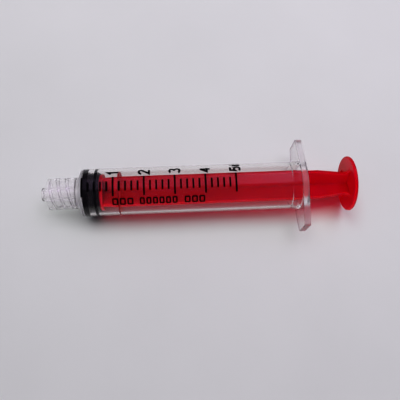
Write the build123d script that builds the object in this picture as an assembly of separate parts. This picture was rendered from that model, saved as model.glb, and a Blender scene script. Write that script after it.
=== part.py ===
from build123d import *
import math
import os

# A 5 ml Luer-lock syringe with its plunger pushed home.
# Lengths are in millimetres. The origin is the centre of the nozzle's tip, +X runs along the
# syringe's axis towards the thumb disc, +Y along the finger flange, and +Z up.
# Angles about the axis are measured from +Z, positive towards +Y.

os.makedirs("parts", exist_ok=True)

# Barrel
bore_radius = 6.05
barrel_wall = 0.90
barrel_radius = bore_radius + barrel_wall
shoulder_x = 11.5
shoulder_round = 0.8
front_wall = 0.85
chamber_cone = 1.0
barrel_end_x = shoulder_x + 65.2

# Luer nozzle: a 6 percent taper on its diameter
tip_radius = 1.975
nozzle_taper = 0.03
tip_round = 0.3
fluid_bore_radius = 1.1

# Lock collar around the nozzle, with a two-start thread inside
collar_front_x = 2.0
collar_radius = 4.6
collar_round = 0.35
collar_root_radius = 4.0
collar_floor_x = 10.1
thread_lead = 5.0
thread_starts = 2
thread_height = 0.45
thread_base_width = 1.15
thread_crest_width = 0.45
thread_overlap = 0.2
thread_first_x = 3.0
thread_last_x = 9.0
thread_phase = 170.0

# Finger flange
flange_thickness = 1.87
flange_front_x = barrel_end_x - flange_thickness
ear_reach = 13.35
ear_half_height = 3.6
ear_corner_round = 0.9
flange_ring_radius = 7.25
flange_root_length = 2.2
flange_edge_round = 0.2

# Retaining bead and lead-in at the open end of the bore
bead_x = shoulder_x + 61.1
bead_width = 0.6
bead_radius = 5.87
lead_in_radius = 6.3
mouth_chamfer = 0.3

# Rubber stopper
stopper_front_x = shoulder_x + front_wall + 0.1
seal_radius = bore_radius - 0.03
seal_round = 0.2
stopper_waist_radius = 5.6
front_seal_length = 1.55
waist_length = 1.6
rear_seal_length = 0.95
tail_length = 0.5
stopper_end_x = stopper_front_x + front_seal_length + waist_length + rear_seal_length + tail_length
socket_clearance = 0.05

# Plunger rod: a cross of four ribs between a snap-in head and the thumb disc
rib_radius = 5.45
rib_thickness = 1.0
rib_core_round = 0.5
rib_edge_round = 0.12
rod_turn = 63.8
neck_radius = 2.0
neck_length = 1.5
head_radius = 3.3
head_length = 1.7
head_nose_radius = 2.2
support_disc_radius = 5.3
support_disc_thickness = 0.9
guide_disc_x = shoulder_x + 10.8
guide_disc_radius = 5.95
guide_disc_thickness = 0.45
taper_start_x = shoulder_x + 68.2
taper_end_x = shoulder_x + 76.3
taper_end_radius = 4.2
thumb_disc_x = shoulder_x + 78.1
thumb_disc_radius = 8.07
thumb_disc_thickness = 0.95
thumb_edge_round = 0.4
thumb_flare_round = 1.8

# Printed scale: thin ink on the barrel's surface
ink_thickness = 0.02
zero_x = shoulder_x + 1.0
ml_length = 1000 / (math.pi * bore_radius**2)
scale_ml = 5
marks_per_ml = 5
mark_width = 0.52
mark_angle = -4.5
long_mark_span = 47.4
short_mark_span = 23.2
number_height = 3.5
number_width = 2.0
number_stretch = 1.15
number_angle = 32.5
number_pen = 0.62
unit_angle = 51.5
unit_pen = 0.5
unit_x_height = 0.55 * number_height
unit_stem_step = 0.36 * number_width
unit_letter_gap = 0.1
notice_angle = -42.0
notice_height = 2.1
notice_pen = 0.42
notice_gap = 0.42
# Each word of blocks: where it starts and ends, and how many places it has
notice_words = [(20.9, 26.8, 3), (28.6, 39.2, 6), (41.2, 47.0, 3)]


def turned(outline):
    """A solid of revolution about the X axis from (x, radius) points and edges."""
    return revolve(make_face(outline), axis=Axis.X)


def lathe(*points):
    """A turned solid with straight sides through the given (x, radius) points."""
    return turned(Polyline(*points, close=True))


def x_cylinder(radius, x_start, x_end):
    """A cylinder along the axis between two stations."""
    return lathe((x_start, 0), (x_start, radius), (x_end, radius), (x_end, 0))


def nozzle():
    """The tapered Luer nozzle, with a rounded tip."""
    root_radius = tip_radius + nozzle_taper * collar_floor_x
    tip_shoulder = tip_radius + nozzle_taper * tip_round
    outline = Curve() + [
        Line((collar_floor_x, 0), (0, 0)),
        Line((0, 0), (0, tip_radius - tip_round)),
        ThreePointArc(
            (0, tip_radius - tip_round),
            (tip_round * (1 - math.sqrt(0.5)), tip_radius - tip_round * (1 - math.sqrt(0.5))),
            (tip_round, tip_shoulder),
        ),
        Line((tip_round, tip_shoulder), (collar_floor_x, root_radius)),
        Line((collar_floor_x, root_radius), (collar_floor_x, 0)),
    ]
    return turned(outline)


def lock_collar():
    """The plain collar tube around the nozzle, closed by its floor."""
    tube = lathe(
        (collar_front_x, collar_root_radius),
        (collar_front_x, collar_radius),
        (shoulder_x + front_wall / 2, collar_radius),
        (shoulder_x + front_wall / 2, 0),
        (collar_floor_x, 0),
        (collar_floor_x, collar_root_radius),
    )
    front_edge = tube.edges().filter_by(GeomType.CIRCLE).group_by(Axis.X)[0].sort_by(SortBy.RADIUS)[-1]
    return fillet(front_edge, collar_round)


def collar_thread():
    """Both starts of the internal thread, as helical ribs keyed into the collar's wall."""
    height = thread_last_x - thread_first_x
    path_radius = collar_root_radius
    starts = []
    for start in range(thread_starts):
        turn = thread_phase + start * 360 / thread_starts
        path = Helix(pitch=thread_lead, height=height, radius=path_radius)
        section_plane = Plane(origin=(path_radius, 0, 0), x_dir=(1, 0, 0), z_dir=(0, 1, 0))
        section = section_plane * make_face(
            Polyline(
                (thread_overlap, -thread_base_width / 2),
                (-thread_height, -thread_crest_width / 2),
                (-thread_height, thread_crest_width / 2),
                (thread_overlap, thread_base_width / 2),
                close=True,
            )
        )
        rib = sweep(section, path=path, is_frenet=True)
        starts.append(Pos(X=thread_first_x) * Rot(Y=90) * Rot(Z=turn) * rib)
    return starts


def barrel_tube():
    """The barrel's outside, with a rounded front shoulder and a flared root at the flange."""
    root_x = flange_front_x - flange_root_length
    shoulder_inner = barrel_radius - shoulder_round
    diagonal = shoulder_round * (1 - math.sqrt(0.5))
    outline = Curve() + [
        Line((shoulder_x, 0), (shoulder_x, shoulder_inner)),
        ThreePointArc(
            (shoulder_x, shoulder_inner),
            (shoulder_x + diagonal, barrel_radius - diagonal),
            (shoulder_x + shoulder_round, barrel_radius),
        ),
        Line((shoulder_x + shoulder_round, barrel_radius), (root_x, barrel_radius)),
        Line((root_x, barrel_radius), (flange_front_x, flange_ring_radius)),
        Line((flange_front_x, flange_ring_radius), (flange_front_x, 0)),
        Line((flange_front_x, 0), (shoulder_x, 0)),
    ]
    return turned(outline)


def finger_flange():
    """A ring that narrows to a flat ear end on each side, as one plate square to the axis."""
    ring = Circle(flange_ring_radius)
    ears = Rectangle(2 * ear_reach, 2 * ear_half_height)
    plate = extrude(make_face(make_hull(ring.edges() + ears.edges())), flange_thickness)
    ear_corners = plate.edges().filter_by(Axis.Z).filter_by(
        lambda edge: abs(edge.center().X) > flange_ring_radius
    )
    plate = fillet(ear_corners, ear_corner_round)
    levels = plate.edges().group_by(Axis.Z)
    plate = fillet(levels[0] + levels[-1], flange_edge_round)
    across_y = Plane(origin=(flange_front_x, 0, 0), x_dir=(0, 1, 0), z_dir=(1, 0, 0))
    return across_y * plate


def barrel_hollow():
    """Everything removed from the barrel: fluid bore, chamber, retaining bead, lead-in and mouth."""
    chamber_x = shoulder_x + front_wall
    return lathe(
        (-1, 0),
        (-1, fluid_bore_radius),
        (chamber_x - chamber_cone * (1 - fluid_bore_radius / bore_radius), fluid_bore_radius),
        (chamber_x, bore_radius),
        (bead_x - bead_width / 2, bore_radius),
        (bead_x, bead_radius),
        (bead_x + bead_width / 2, lead_in_radius),
        (barrel_end_x - mouth_chamfer, lead_in_radius),
        (barrel_end_x, lead_in_radius + mouth_chamfer),
        (barrel_end_x + 1, lead_in_radius + mouth_chamfer),
        (barrel_end_x + 1, 0),
    )


def barrel():
    """The one clear moulding: nozzle, lock collar, tube and finger flange."""
    body = nozzle() + lock_collar() + barrel_tube() + finger_flange()
    body = body - barrel_hollow()
    for start in collar_thread():
        body = body + start
    return body


def stopper():
    """The rubber stopper: two sealing rings, a shallow cone in front and a socket behind."""
    front_seal_end = stopper_front_x + front_seal_length
    rear_seal_x = front_seal_end + waist_length
    rear_seal_end = rear_seal_x + rear_seal_length
    shell = lathe(
        (stopper_front_x - chamber_cone, 0),
        (stopper_front_x, seal_radius - seal_round),
        (stopper_front_x + seal_round, seal_radius),
        (front_seal_end - seal_round, seal_radius),
        (front_seal_end, stopper_waist_radius),
        (rear_seal_x, stopper_waist_radius),
        (rear_seal_x + seal_round, seal_radius),
        (rear_seal_end - seal_round, seal_radius),
        (rear_seal_end, stopper_waist_radius),
        (stopper_end_x, stopper_waist_radius),
        (stopper_end_x, 0),
    )
    return shell - rod_head(socket_clearance)


def rod_head(clearance):
    """The snap-in head and its neck, grown by a clearance when it shapes the stopper's socket."""
    neck_x = stopper_end_x - neck_length
    head_x = neck_x - head_length
    barb_x = neck_x - head_length / 3
    neck = x_cylinder(neck_radius + clearance, barb_x, stopper_end_x + support_disc_thickness / 2)
    head = lathe(
        (head_x - clearance, 0),
        (head_x - clearance, head_nose_radius + clearance),
        (barb_x, head_radius + clearance),
        (neck_x + clearance, head_radius + clearance),
        (neck_x + clearance, 0),
    )
    return neck + head


def rib_plate():
    """One full rib, both arms: straight, then tapered, then flared onto the thumb disc."""
    front_x = stopper_end_x + support_disc_thickness / 2
    back_x = thumb_disc_x + thumb_disc_thickness / 2
    half = make_face(
        Polyline(
            (front_x, 0),
            (front_x, support_disc_radius - rib_edge_round),
            (stopper_end_x + support_disc_thickness, support_disc_radius - rib_edge_round),
            (guide_disc_x, rib_radius),
            (taper_start_x, rib_radius),
            (taper_end_x, taper_end_radius),
            (thumb_disc_x, taper_end_radius),
            (thumb_disc_x, taper_end_radius + thumb_flare_round),
            (back_x, taper_end_radius + thumb_flare_round),
            (back_x, 0),
            close=True,
        )
    )
    inner_corner = half.vertices().sort_by_distance((thumb_disc_x, taper_end_radius, 0))[0]
    half = fillet(inner_corner, thumb_flare_round - 0.01)
    full = half + mirror(half, about=Plane.XZ)
    plate = extrude(full, rib_thickness / 2, both=True)
    long_edges = plate.edges().filter_by(Axis.X).filter_by(lambda edge: edge.length > 2 * thumb_disc_radius)
    return fillet(long_edges, rib_edge_round)


def plunger_rod():
    """The one red moulding: head, support disc, four ribs, guide disc and thumb disc."""
    cross = rib_plate() + Rot(X=90) * rib_plate()
    core_edges = cross.edges().filter_by(Axis.X).filter_by(
        lambda edge: math.hypot(edge.center().Y, edge.center().Z) < rib_thickness
    )
    cross = Rot(X=rod_turn) * fillet(core_edges, rib_core_round)
    support_end_x = stopper_end_x + support_disc_thickness
    support = x_cylinder(support_disc_radius, stopper_end_x + socket_clearance, support_end_x)
    guide = x_cylinder(guide_disc_radius, guide_disc_x, guide_disc_x + guide_disc_thickness)
    thumb = x_cylinder(thumb_disc_radius, thumb_disc_x, thumb_disc_x + thumb_disc_thickness)
    thumb = fillet(thumb.edges().filter_by(GeomType.CIRCLE), thumb_edge_round)
    return rod_head(0) + support + cross + guide + thumb


def ink_shell(x_start, x_end):
    """The thin skin on the barrel that all printing is cut from."""
    outer = x_cylinder(barrel_radius + ink_thickness, x_start, x_end)
    return outer - x_cylinder(barrel_radius, x_start - 1, x_end + 1)


def ink_arc(x_centre, width, angle, span):
    """A printed line around the barrel, span degrees long and centred on an angle."""
    section = make_face(
        Polyline(
            (x_centre - width / 2, barrel_radius),
            (x_centre - width / 2, barrel_radius + ink_thickness),
            (x_centre + width / 2, barrel_radius + ink_thickness),
            (x_centre + width / 2, barrel_radius),
            close=True,
        )
    )
    return Rot(X=90 - angle - span / 2) * revolve(section, axis=Axis.X, revolution_arc=span)


def printed(sketch, x_centre, angle, up):
    """A flat sketch laid on the barrel at a station and an angle, its top towards up."""
    over = Plane(origin=(x_centre, 0, 0), x_dir=up.cross(Vector(0, 0, 1)), z_dir=(0, 0, 1))
    block = Rot(X=-angle) * extrude(over * sketch, barrel_radius + 1)
    reach = max(number_height, notice_height)
    return block & ink_shell(x_centre - reach, x_centre + reach)


def pen(*edges, width=number_pen):
    """A sketch drawn with a pen of the given width along the edges."""
    return trace(Curve() + list(edges), line_width=width)


def digit(value):
    """One upright digit from 1 to 5, centred on the origin."""
    right = (number_width - number_pen) / 2
    top = (number_height - number_pen) / 2
    small = top * 0.46
    large = top - small
    waist = top - 2 * small
    left, bottom = -right, -top
    if value == 1:
        return pen(Polyline((left * 0.7, top * 0.45), (0.1, top), (0.1, bottom)))
    if value == 2:
        shoulder = top - right
        return pen(
            ThreePointArc((left, shoulder), (0, top), (right, shoulder)),
            Line((right, shoulder), (left, bottom)),
            Line((left, bottom), (right, bottom)),
        )
    if value == 3:
        tuck = math.cos(math.radians(30))
        upper_y = top - small / 2
        lower_y = bottom + large / 2
        upper = pen(ThreePointArc((-small * tuck, upper_y), (small * tuck, upper_y), (0, waist)))
        return upper + pen(ThreePointArc((0, waist), (large * tuck, lower_y), (-large * tuck, lower_y)))
    if value == 4:
        bar = bottom * 0.35
        stem = pen(Line((right * 0.4, bottom), (right * 0.4, top)))
        return stem + pen(Polyline((right * 0.4, top), (left, bar), (right, bar)))
    return pen(
        Polyline((right * 0.9, top), (left * 0.75, top), (left * 0.95, 0.1)),
        ThreePointArc((left * 0.95, 0.1), (right, bottom * 0.42), (left, bottom * 0.72)),
    )


def unit_mark():
    """The scale's unit, two small letters m and l."""
    top = (number_height - number_pen) / 2
    foot = -top
    shoulder = foot + unit_x_height
    stem_places = [-unit_stem_step, 0, unit_stem_step]
    stems = [Line((x, foot), (x, shoulder)) for x in stem_places]
    arches = [Line((x, shoulder), (x + unit_stem_step, shoulder)) for x in stem_places[:-1]]
    tall_x = 2 * unit_stem_step + unit_letter_gap
    tall = Line((tall_x, foot), (tall_x, top))
    return pen(*stems, *arches, width=unit_pen) + pen(tall, width=unit_pen)


def graduation_lines():
    """The marks every 0.2 ml, with a longer one at each whole millilitre."""
    marks = []
    for index in range(scale_ml * marks_per_ml + 1):
        whole = index % marks_per_ml == 0
        span = long_mark_span if whole else short_mark_span
        marks.append(ink_arc(zero_x + index * ml_length / marks_per_ml, mark_width, mark_angle, span))
    return Compound(marks)


def graduation_numbers():
    """The numbers 1 to 5 beside the long marks, tops towards the nozzle, and the unit after the 5."""
    towards_nozzle = Vector(-1, 0, 0)
    inks = []
    for value in range(1, scale_ml + 1):
        figure = scale(digit(value), by=(number_stretch, 1, 1))
        inks += printed(figure, zero_x + value * ml_length, number_angle, towards_nozzle).solids()
    inks += printed(unit_mark(), zero_x + scale_ml * ml_length, unit_angle, towards_nozzle).solids()
    return Compound(inks)


def notice_blocks():
    """A line of plain blocks, one for each place of a printed notice."""
    across_barrel = Vector(0, 1, 0)
    inks = []
    for word_start, word_end, places in notice_words:
        cell = (word_end - word_start + notice_gap) / places
        for place in range(places):
            centre = word_start + cell * place + (cell - notice_gap) / 2
            outer = RectangleRounded(cell - notice_gap, notice_height, notice_pen)
            inner = Rectangle(cell - notice_gap - 2 * notice_pen, notice_height - 2 * notice_pen)
            inks += printed(outer - inner, centre, notice_angle, across_barrel).solids()
    return Compound(inks)


export_step(barrel(), "parts/barrel.step")
export_step(stopper(), "parts/stopper.step")
export_step(plunger_rod(), "parts/plunger_rod.step")
export_step(graduation_lines(), "parts/graduation_lines.step")
export_step(graduation_numbers(), "parts/graduation_numbers.step")
export_step(notice_blocks(), "parts/notice_blocks.step")
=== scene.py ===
import math

import bpy
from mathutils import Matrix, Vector

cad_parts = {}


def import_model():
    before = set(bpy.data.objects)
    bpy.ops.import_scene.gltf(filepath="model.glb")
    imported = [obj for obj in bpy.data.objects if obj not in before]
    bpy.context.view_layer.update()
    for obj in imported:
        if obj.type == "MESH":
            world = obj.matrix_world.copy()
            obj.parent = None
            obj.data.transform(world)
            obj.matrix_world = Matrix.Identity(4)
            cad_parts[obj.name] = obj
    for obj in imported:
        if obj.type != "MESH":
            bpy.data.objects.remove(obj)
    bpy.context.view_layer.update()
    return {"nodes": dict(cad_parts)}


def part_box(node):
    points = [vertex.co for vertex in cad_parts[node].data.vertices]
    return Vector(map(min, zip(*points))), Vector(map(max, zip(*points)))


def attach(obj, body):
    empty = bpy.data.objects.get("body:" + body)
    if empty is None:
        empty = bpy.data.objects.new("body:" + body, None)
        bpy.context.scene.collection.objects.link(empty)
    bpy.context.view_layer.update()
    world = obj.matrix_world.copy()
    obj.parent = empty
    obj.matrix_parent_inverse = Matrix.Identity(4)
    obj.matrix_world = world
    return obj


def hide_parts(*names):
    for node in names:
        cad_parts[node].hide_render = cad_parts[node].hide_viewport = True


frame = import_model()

# A 5 ml syringe lying on a pale table, its printed side up. The barrel and the stopper are rebuilt
# as fine turned meshes, because what they refract shows every facet. The rod and the ink are CAD.
# Outlines are in millimetres along the axis from the nozzle's tip, and turn into metres in turned().

MM = 0.001
NODES = frame["nodes"]
POINTS_AROUND = 288
BARREL_HIGH = Vector(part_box("barrel")[1]) / MM
STOPPER_HIGH = Vector(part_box("stopper")[1]) / MM
ROD_LOW, ROD_HIGH = (Vector(corner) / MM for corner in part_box("plunger_rod"))

# Barrel
BORE = 6.05
TUBE = 6.95
SHOULDER_X = 11.5
SHOULDER_ROUND = 0.8
FRONT_WALL_EDGE = 0.85
FRONT_WALL_MIDDLE = 0.03
BARREL_END = BARREL_HIGH.x
EAR_REACH = BARREL_HIGH.y
EAR_HALF_HEIGHT = 3.6
EAR_CORNER_SOFTNESS = 0.3
FLANGE_RING = 7.25
FLANGE_THICK = 1.87
FLANGE_FRONT = BARREL_END - FLANGE_THICK
FLANGE_ROOT = 2.2
BEAD_X = SHOULDER_X + 61.1
BEAD = 5.87
BEAD_FRONT = 0.3
LEAD_IN = 6.3
LEAD_IN_LENGTH = 1.3
MOUTH_CHAMFER = 0.3

# Nozzle and lock collar
FLUID_BORE = 1.1
NOZZLE_TIP = 1.975
NOZZLE_ROOT = 2.28
COLLAR_FRONT = 2.0
COLLAR_FLOOR = 10.1
COLLAR_OUT = 4.6
COLLAR_IN = 4.0
THREAD_FIRST = 3.0
THREAD_LAST = 9.0
THREAD_LEAD = 5.0
THREAD_STARTS = 2
THREAD_PHASE = math.radians(10)
THREAD_HEIGHT = 0.45
THREAD_BASE = 0.95
THREAD_CREST = 0.45
THREAD_FADE = 0.4
THREAD_STATIONS = 76

# Stopper and guide disc. They wet the bore where they press on it, and so reach a little into its wall
WETTED = BORE + 0.05
FRONT_SEAL = 1.55
WAIST = 1.6
REAR_SEAL = 0.95
TAIL = 0.5
STOPPER_FRONT = STOPPER_HIGH.x - (FRONT_SEAL + WAIST + REAR_SEAL + TAIL)
STOPPER_CONE = 0.98
WAIST_RADIUS = 5.7
SEAL_STEP = 0.05
SOCKET = 2.1
GUIDE_X = SHOULDER_X + 10.8
GUIDE_THICK = 0.45
GUIDE_INNER = 5.7
GUIDE_GAP = 0.1
GUIDE_LEANS_TO = math.radians(-125)

# How milky and how rough the barrel's thick ends are
THICK_HAZE = 0.08
RIM_HAZE = 0.10
SHOULDER_HAZE = 0.23
MATT_ROUGHNESS = 0.35
FLANGE_ROUGHNESS = 0.10

# Colours of light
WHITE = (1.0, 1.0, 1.0)
PALE_PINK = (0.92, 0.68, 1.08)

# Camera
CAMERA_LENS = 42.49
CAMERA_PLACE = (39.91, -44.99, 132.07)
CAMERA_TURN = (0.3044, -0.0440, -0.0516)


def smooth_step(value):
    """0 to 1 over the same range, level at both ends."""
    value = min(max(value, 0.0), 1.0)
    return value * value * (3 - 2 * value)


def rounded(corners, steps=5):
    """Stations along an outline of (x, radius, corner round), with each corner turned into an arc.
    A station just outside each arc keeps the shading of the straight stretches flat."""
    support = 0.03
    stations = []
    for index, (x, radius, corner) in enumerate(corners):
        here = Vector((x, radius))
        if corner == 0:
            stations.append(here)
            continue
        before = (Vector(corners[index - 1][:2]) - here).normalized()
        after = (Vector(corners[(index + 1) % len(corners)][:2]) - here).normalized()
        half = before.angle(after) / 2
        reach = corner / math.tan(half)
        centre = here + (before + after).normalized() * corner / math.sin(half)
        start = here + before * reach
        end = here + after * reach
        stations.append(start + before * support)
        spoke = start - centre
        sweep = spoke.angle_signed(end - centre)
        for step in range(steps + 1):
            turn = -sweep * step / steps
            stations.append(centre + Vector((
                spoke.x * math.cos(turn) - spoke.y * math.sin(turn),
                spoke.x * math.sin(turn) + spoke.y * math.cos(turn),
            )))
        stations.append(end + after * support)
    return stations


def turned(name, stations, closed, radius_at):
    """A mesh turned about the X axis through the stations, each ring's radius set by radius_at."""
    points = []
    for x, radius in stations:
        for step in range(POINTS_AROUND):
            angle = 2 * math.pi * step / POINTS_AROUND
            reach = radius_at(x, radius, angle)
            points.append((x * MM, reach * math.sin(angle) * MM, reach * math.cos(angle) * MM))
    faces = []
    count = len(stations)
    for ring in range(count if closed else count - 1):
        for step in range(POINTS_AROUND):
            following = (step + 1) % POINTS_AROUND
            this_ring = ring * POINTS_AROUND
            next_ring = (ring + 1) % count * POINTS_AROUND
            faces.append((this_ring + step, next_ring + step, next_ring + following, this_ring + following))
    if not closed:
        faces.append(tuple(range(POINTS_AROUND)))
        faces.append(tuple(reversed(range((count - 1) * POINTS_AROUND, count * POINTS_AROUND))))
    mesh = bpy.data.meshes.new(name)
    mesh.from_pydata(points, [], faces)
    mesh.validate()
    mesh.shade_smooth()
    piece = bpy.data.objects.new(name, mesh)
    bpy.context.collection.objects.link(piece)
    return piece


def plain_radius(x, radius, angle):
    """A round section."""
    return radius


def reach_to_line(angle, first, second):
    """How far out the line through two (y, z) points lies at an angle from +Z."""
    across = (second[1] - first[1]) * math.sin(angle) + (first[0] - second[0]) * math.cos(angle)
    through = first[0] * second[1] - first[1] * second[0]
    return through / across if through * across > 0 else math.inf


def flange_edge(angle):
    """The flange's outline: a ring, and its tangents to the corners of a flat ear end at +Y and -Y."""
    from_up = math.atan2(abs(math.sin(angle)), abs(math.cos(angle)))
    corner = (EAR_REACH, EAR_HALF_HEIGHT)
    tangent = math.atan2(*corner) - math.acos(FLANGE_RING / math.hypot(*corner))
    if from_up < tangent:
        return FLANGE_RING
    touch = (FLANGE_RING * math.sin(tangent), FLANGE_RING * math.cos(tangent))
    taper = reach_to_line(from_up, touch, corner)
    end = reach_to_line(from_up, corner, (EAR_REACH, 0))
    softened = math.exp(-taper / EAR_CORNER_SOFTNESS) + math.exp(-end / EAR_CORNER_SOFTNESS)
    return -EAR_CORNER_SOFTNESS * math.log(softened)


def thread_rise(x, angle):
    """How far the collar's thread stands in from its wall at a station."""
    pitch = THREAD_LEAD / THREAD_STARTS
    crest = THREAD_FIRST + (THREAD_PHASE - angle) / (2 * math.pi) * THREAD_LEAD
    away = abs((x - crest + pitch / 2) % pitch - pitch / 2)
    flank = (THREAD_BASE - THREAD_CREST) / 2
    fade = min(x - THREAD_FIRST, THREAD_LAST - x) / THREAD_FADE + 1
    return THREAD_HEIGHT * smooth_step((THREAD_BASE / 2 - away) / flank) * smooth_step(fade)


def on_collar_wall(radius):
    """Whether a station lies on the collar's inside wall, which carries the thread."""
    return abs(radius - COLLAR_IN) < 0.01


def barrel_radius(x, radius, angle):
    """Round everywhere but on the flange and inside the collar, where the thread stands in."""
    if radius > FLANGE_RING + 1:
        return flange_edge(angle) - (EAR_REACH - radius)
    if on_collar_wall(radius) and COLLAR_FRONT < x < COLLAR_FLOOR:
        return radius - thread_rise(x, angle)
    return radius


def barrel_outline():
    """The barrel's whole wall as one closed outline, from the nozzle's bore round to it again."""
    wall = rounded([
        (0, FLUID_BORE, 0.1),
        (0, NOZZLE_TIP, 0.3),
        (COLLAR_FLOOR, NOZZLE_ROOT, 0.4),
        (COLLAR_FLOOR, COLLAR_IN, 0.4),
        (COLLAR_FRONT, COLLAR_IN, 0.15),
        (COLLAR_FRONT, COLLAR_OUT, 0.25),
        (SHOULDER_X, COLLAR_OUT, 0.7),
        (SHOULDER_X, TUBE, SHOULDER_ROUND),
        (FLANGE_FRONT - FLANGE_ROOT, TUBE, 2.0),
        (FLANGE_FRONT, FLANGE_RING - 0.1, 0.15),
        (FLANGE_FRONT, EAR_REACH, 0.2),
        (BARREL_END, EAR_REACH, 0.2),
        (BARREL_END, LEAD_IN + MOUTH_CHAMFER, 0.1),
        (BARREL_END - MOUTH_CHAMFER, LEAD_IN, 0.1),
        (BEAD_X + LEAD_IN_LENGTH, LEAD_IN, 0.5),
        (BEAD_X, BEAD, 0.4),
        (BEAD_X - BEAD_FRONT, BORE, 0.1),
        (SHOULDER_X + FRONT_WALL_EDGE, BORE, 0.3),
        (SHOULDER_X + FRONT_WALL_MIDDLE, FLUID_BORE, 0.2),
    ])
    outline = []
    for here, following in zip(wall, wall[1:] + wall[:1]):
        outline.append(here)
        if on_collar_wall(here.y) and on_collar_wall(following.y) and here.x - following.x > 1:
            for step in range(1, THREAD_STATIONS):
                outline.append(here.lerp(following, step / THREAD_STATIONS))
    return outline


def stopper_outline():
    """The stopper from its nose to its back: a cone, two seals with a waist between, and a tail."""
    front_seal_end = STOPPER_FRONT + FRONT_SEAL
    rear_seal = front_seal_end + WAIST
    rear_seal_end = rear_seal + REAR_SEAL
    return rounded([
        (STOPPER_FRONT - STOPPER_CONE, 0.02, 0),
        (STOPPER_FRONT, WETTED, 0.25),
        (front_seal_end, WETTED, 0.25),
        (front_seal_end + SEAL_STEP, WAIST_RADIUS, 0.15),
        (rear_seal - SEAL_STEP, WAIST_RADIUS, 0.15),
        (rear_seal, WETTED, 0.25),
        (rear_seal_end, WETTED, 0.25),
        (rear_seal_end + SEAL_STEP, WAIST_RADIUS, 0.15),
        (STOPPER_HIGH.x, WAIST_RADIUS, 0.2),
        (STOPPER_HIGH.x, SOCKET, 0),
    ])


def guide_rim_outline():
    """The edge of the rod's guide disc, a little thinner than the disc itself."""
    inset = 0.02
    front = GUIDE_X + inset
    back = GUIDE_X + GUIDE_THICK - inset
    return rounded([
        (front, GUIDE_INNER, 0),
        (front, WETTED, 0.1),
        (back, WETTED, 0.1),
        (back, GUIDE_INNER, 0),
    ])


def guide_rim_radius(x, radius, angle):
    """The guide disc leans on the near and lower side of the bore, and clears it on the other."""
    clear = smooth_step(0.5 - 2 * math.cos(angle - GUIDE_LEANS_TO))
    return radius - GUIDE_GAP * clear if radius > GUIDE_INNER + 0.1 else radius


def new_material(name):
    """A node material with a plain Principled shader, and that shader."""
    material = bpy.data.materials.new(name)
    material.use_nodes = True
    return material, material.node_tree, material.node_tree.nodes["Principled BSDF"]


def noise(tree, size, detail, stretch=1.0):
    """Cloudy noise from 0 to 1, its features a size in millimetres and drawn out along the axis."""
    place = tree.nodes.new("ShaderNodeTexCoord")
    squeeze = tree.nodes.new("ShaderNodeMapping")
    squeeze.inputs["Scale"].default_value = (1 / stretch, 1, 1)
    cloud = tree.nodes.new("ShaderNodeTexNoise")
    cloud.inputs["Scale"].default_value = 1 / (size * MM)
    cloud.inputs["Detail"].default_value = detail
    tree.links.new(place.outputs["Object"], squeeze.inputs["Vector"])
    tree.links.new(squeeze.outputs["Vector"], cloud.inputs["Vector"])
    return cloud.outputs["Fac"]


def between(tree, value, low, high, start=0.3, stop=0.7):
    """The value, with start to stop spread over low to high."""
    spread = tree.nodes.new("ShaderNodeMapRange")
    spread.inputs["From Min"].default_value = start
    spread.inputs["From Max"].default_value = stop
    spread.inputs["To Min"].default_value = low
    spread.inputs["To Max"].default_value = high
    tree.links.new(value, spread.inputs["Value"])
    return spread.outputs["Result"]


def calculate(tree, operation, first, second):
    """A Math node on an output and on another output or a number."""
    result = tree.nodes.new("ShaderNodeMath")
    result.operation = operation
    tree.links.new(first, result.inputs[0])
    if isinstance(second, (int, float)):
        result.inputs[1].default_value = second
    else:
        tree.links.new(second, result.inputs[1])
    return result.outputs["Value"]


def blend(tree, value, low, high, start=0.3, stop=0.7):
    """A colour that goes from low to high as the value does from start to stop."""
    ramp = tree.nodes.new("ShaderNodeValToRGB")
    ramp.color_ramp.elements[0].position = start
    ramp.color_ramp.elements[0].color = (*low, 1)
    ramp.color_ramp.elements[1].position = stop
    ramp.color_ramp.elements[1].color = (*high, 1)
    tree.links.new(value, ramp.inputs["Fac"])
    return ramp.outputs["Color"]


def overlay(tree, value, mask, amount):
    """The value, turned into the amount where the mask is 1."""
    mix = tree.nodes.new("ShaderNodeMix")
    tree.links.new(mask, mix.inputs["Factor"])
    tree.links.new(value, mix.inputs["A"])
    mix.inputs["B"].default_value = amount
    return mix.outputs["Result"]


def emboss(tree, shader, height, depth):
    """Raise the surface by the height, whose whole range is depth millimetres."""
    bump = tree.nodes.new("ShaderNodeBump")
    bump.inputs["Distance"].default_value = depth * MM
    tree.links.new(height, bump.inputs["Height"])
    tree.links.new(bump.outputs["Normal"], shader.inputs["Normal"])


def let_lamps_through(tree, shader, facing, grazing):
    """Rays from lamps pass the surface in the facing colour, and in the grazing one where they slant."""
    slant = tree.nodes.new("ShaderNodeLayerWeight")
    slant.inputs["Blend"].default_value = 0.5
    passed = blend(tree, slant.outputs["Facing"], facing, grazing, 0.3, 0.85)
    lamp_light = tree.nodes.new("ShaderNodeBsdfTransparent")
    tree.links.new(passed, lamp_light.inputs["Color"])
    path = tree.nodes.new("ShaderNodeLightPath")
    mix = tree.nodes.new("ShaderNodeMixShader")
    tree.links.new(path.outputs["Is Shadow Ray"], mix.inputs[0])
    tree.links.new(shader.outputs[0], mix.inputs[1])
    tree.links.new(lamp_light.outputs[0], mix.inputs[2])
    tree.links.new(mix.outputs[0], tree.nodes["Material Output"].inputs["Surface"])


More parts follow.
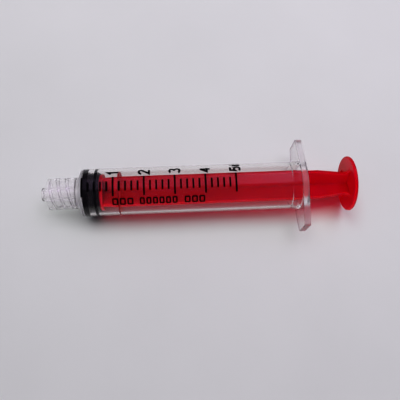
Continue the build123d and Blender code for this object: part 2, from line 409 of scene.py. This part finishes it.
def barrel_masks(tree):
    """Masks of the barrel, each 1 on its own part: the flange, its edge, the nose and its shoulder."""
    place = tree.nodes.new("ShaderNodeTexCoord")
    position = tree.nodes.new("ShaderNodeSeparateXYZ")
    facing = tree.nodes.new("ShaderNodeSeparateXYZ")
    tree.links.new(place.outputs["Object"], position.inputs["Vector"])
    tree.links.new(place.outputs["Normal"], facing.inputs["Vector"])
    along = position.outputs["X"]
    y_squared = calculate(tree, "POWER", position.outputs["Y"], 2)
    z_squared = calculate(tree, "POWER", position.outputs["Z"], 2)
    off_axis_squared = calculate(tree, "ADD", y_squared, z_squared)
    outside = calculate(tree, "GREATER_THAN", off_axis_squared, (TUBE * MM) ** 2)
    behind_front = calculate(tree, "GREATER_THAN", along, (FLANGE_FRONT - 0.05) * MM)
    flange = calculate(tree, "MULTIPLY", behind_front, outside)
    sideways = between(tree, calculate(tree, "ABSOLUTE", facing.outputs["X"], 0), 1, 0, 0.2, 0.9)
    rim = calculate(tree, "MULTIPLY", flange, sideways)
    nose = calculate(tree, "LESS_THAN", along, (SHOULDER_X + 0.8) * MM)
    behind_collar = calculate(tree, "GREATER_THAN", along, (COLLAR_FLOOR + 0.3) * MM)
    shoulder = calculate(tree, "MULTIPLY", nose, behind_collar)
    return flange, rim, nose, shoulder


def clear_plastic():
    """Clear polypropylene: faint moulding waves, matt bands, and a slight haze where it is thick."""
    material, tree, shader = new_material("clear_plastic")
    shader.inputs["IOR"].default_value = 1.49
    flange, rim, nose, shoulder = barrel_masks(tree)
    thick = calculate(tree, "MAXIMUM", flange, nose)
    whiteness = calculate(tree, "MAXIMUM", noise(tree, 9, 2, 4), thick)
    tint = blend(tree, whiteness, (0.935, 0.905, 0.89), (0.985, 0.98, 0.98), 0.3, 1)
    tree.links.new(tint, shader.inputs["Base Color"])
    clarity = between(tree, thick, 1, 1 - THICK_HAZE, 0, 1)
    roughness = between(tree, noise(tree, 1.5, 6, 2), 0.01, 0.05)
    roughness = overlay(tree, roughness, flange, FLANGE_ROUGHNESS)
    for mask, haze in ((rim, RIM_HAZE), (shoulder, SHOULDER_HAZE)):
        clarity = overlay(tree, clarity, mask, 1 - haze)
        roughness = overlay(tree, roughness, mask, MATT_ROUGHNESS)
    tree.links.new(clarity, shader.inputs["Transmission Weight"])
    tree.links.new(roughness, shader.inputs["Roughness"])
    emboss(tree, shader, noise(tree, 5, 1, 5), 0.008)
    let_lamps_through(tree, shader, (0.97, 0.97, 0.97), (0.65, 0.65, 0.65))
    return material


def red_plastic():
    """Soft red polyethylene: waxy, lit from inside, with slow flow marks and a fine moulded grain."""
    material, tree, shader = new_material("red_plastic")
    shader.inputs["IOR"].default_value = 1.45
    shader.inputs["Specular IOR Level"].default_value = 0.3
    shader.inputs["Subsurface Weight"].default_value = 1.0
    shader.inputs["Subsurface Radius"].default_value = (1.0, 0.05, 0.05)
    shader.inputs["Subsurface Scale"].default_value = 3 * MM
    flow_marks = blend(tree, noise(tree, 6, 3, 4), (0.33, 0.001, 0.010), (0.37, 0.002, 0.014))
    tree.links.new(flow_marks, shader.inputs["Base Color"])
    grain = noise(tree, 0.35, 4)
    tree.links.new(between(tree, grain, 0.32, 0.44), shader.inputs["Roughness"])
    emboss(tree, shader, grain, 0.006)
    let_lamps_through(tree, shader, (0.85, 0.06, 0.21), (0.6, 0.02, 0.1))
    return material


def black_rubber():
    """Matt black rubber, a little dusty with mould powder."""
    material, tree, shader = new_material("black_rubber")
    shader.inputs["Specular IOR Level"].default_value = 0.3
    dust = blend(tree, noise(tree, 1.2, 6), (0.003, 0.003, 0.004), (0.009, 0.009, 0.010), 0.4, 0.75)
    tree.links.new(dust, shader.inputs["Base Color"])
    grain = noise(tree, 0.25, 3)
    tree.links.new(between(tree, grain, 0.38, 0.55), shader.inputs["Roughness"])
    emboss(tree, shader, grain, 0.006)
    return material


def black_ink():
    """Screen printed ink: matt, a little uneven in cover."""
    material, tree, shader = new_material("black_ink")
    shader.inputs["Specular IOR Level"].default_value = 0.1
    cover = noise(tree, 0.3, 4)
    black = blend(tree, cover, (0.002, 0.002, 0.002), (0.007, 0.006, 0.007))
    tree.links.new(black, shader.inputs["Base Color"])
    tree.links.new(between(tree, cover, 0.6, 0.8), shader.inputs["Roughness"])
    emboss(tree, shader, cover, 0.003)
    return material


def floor_material():
    """A smooth pale table top with a faint mottle and a fine tooth."""
    material, tree, shader = new_material("floor")
    mottle = blend(tree, noise(tree, 40, 8), (0.61, 0.63, 0.61), (0.635, 0.655, 0.635))
    tree.links.new(mottle, shader.inputs["Base Color"])
    tooth = noise(tree, 0.5, 3)
    tree.links.new(between(tree, tooth, 0.62, 0.75), shader.inputs["Roughness"])
    emboss(tree, shader, tooth, 0.01)
    return material


def paint(piece, material):
    """The piece shows in this material alone."""
    piece.data.materials.clear()
    piece.data.materials.append(material)


def floor():
    """A pale table that touches the barrel's front rim and the thumb disc's edge."""
    reach = 0.7
    tilt = math.atan((ROD_HIGH.z - TUBE) / (ROD_HIGH.x - SHOULDER_X))
    corners = [(x * reach, y * reach, 0) for x, y in ((-1, -1), (1, -1), (1, 1), (-1, 1))]
    mesh = bpy.data.meshes.new("floor")
    mesh.from_pydata(corners, [], [tuple(range(4))])
    piece = bpy.data.objects.new("floor", mesh)
    bpy.context.collection.objects.link(piece)
    piece.location = (ROD_HIGH.x * MM, 0, ROD_LOW.z * MM)
    piece.rotation_euler = (0, tilt, 0)
    paint(piece, floor_material())


def softbox(name, place, size, power, colour, seen):
    """A square-cornered light that faces straight down, and shows in what is glossy or clear if seen.
    Its place and size are in metres, and its power in watts."""
    light = bpy.data.lights.new(name, "AREA")
    light.shape = "RECTANGLE"
    light.size, light.size_y = size
    light.energy = power
    light.color = colour
    lamp = bpy.data.objects.new(name, light)
    lamp.location = place
    lamp.visible_glossy = seen
    lamp.visible_transmission = seen
    bpy.context.collection.objects.link(lamp)
    return lamp


def fade_in(light):
    """The light grows stronger along its length, so its image on the tube does towards the flange."""
    light.use_nodes = True
    tree = light.node_tree
    surface = tree.nodes.new("ShaderNodeNewGeometry")
    position = tree.nodes.new("ShaderNodeSeparateXYZ")
    tree.links.new(surface.outputs["Parametric"], position.inputs["Vector"])
    strength = between(tree, position.outputs["X"], 0.8, 2.2, 0.37, 0.5)
    tree.links.new(strength, tree.nodes["Emission"].inputs["Strength"])


def rod_fill():
    """A dim light from the near side on the red rod alone, for the light that its plastic carries inside."""
    place = (-0.14, -0.20, 0.13)
    lamp = softbox("rod_fill", place, (0.15, 0.15), power=0.95, colour=WHITE, seen=False)
    lamp.rotation_euler = (-lamp.location).to_track_quat("-Z", "Y").to_euler()
    lit = bpy.data.collections.new("rod_only")
    lit.objects.link(NODES["plunger_rod"])
    lamp.light_linking.receiver_collection = lit


def camera():
    """The camera above the barrel's middle, and some way to its near side."""
    data = bpy.data.cameras.new("camera")
    data.sensor_width = 36
    data.lens = CAMERA_LENS
    data.clip_start = 0.005
    eye = bpy.data.objects.new("camera", data)
    eye.location = [measure * MM for measure in CAMERA_PLACE]
    eye.rotation_mode = "ZXY"
    eye.rotation_euler = CAMERA_TURN
    bpy.context.collection.objects.link(eye)
    bpy.context.scene.camera = eye


def world():
    """A dim room, with a pale wall far off, and brighter for rays that leave clear plastic."""
    scene_world = bpy.data.worlds.new("world")
    bpy.context.scene.world = scene_world
    scene_world.use_nodes = True
    tree = scene_world.node_tree
    background = tree.nodes["Background"]
    path = tree.nodes.new("ShaderNodeLightPath")
    hue = blend(tree, path.outputs["Is Camera Ray"], (0.9, 0.82, 1.0), (0.9, 0.88, 0.92), 0, 1)
    tree.links.new(hue, background.inputs["Color"])
    through_clear = between(tree, path.outputs["Is Transmission Ray"], 0.06, 0.25, 0, 1)
    in_view = between(tree, path.outputs["Is Camera Ray"], 0.06, 0.6, 0, 1)
    tree.links.new(calculate(tree, "MAXIMUM", through_clear, in_view), background.inputs["Strength"])


barrel = turned("barrel_shell", barrel_outline(), True, barrel_radius)
paint(barrel, clear_plastic())
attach(barrel, "barrel")
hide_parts("barrel")

stopper = turned("rubber_stopper", stopper_outline(), False, plain_radius)
paint(stopper, black_rubber())
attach(stopper, "stopper")
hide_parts("stopper")

RED = red_plastic()
paint(NODES["plunger_rod"], RED)
guide_rim = turned("guide_disc_rim", guide_rim_outline(), True, guide_rim_radius)
paint(guide_rim, RED)
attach(guide_rim, "plunger_rod")
INK = black_ink()
for ink_node in ("graduation_lines", "graduation_numbers", "notice_blocks"):
    paint(NODES[ink_node], INK)

floor()
world()
camera()
softbox("wash", (0.10, 0.165, 0.6), (0.6, 0.36), power=2.8, colour=WHITE, seen=False)
sheen = softbox("sheen", (0.25, 0.33, 0.55), (1.2, 0.72), power=0.8, colour=PALE_PINK, seen=True)
fade_in(sheen.data)
rod_fill()
bpy.context.scene.view_settings.view_transform = "Standard"
bpy.context.scene.view_settings.look = "High Contrast"
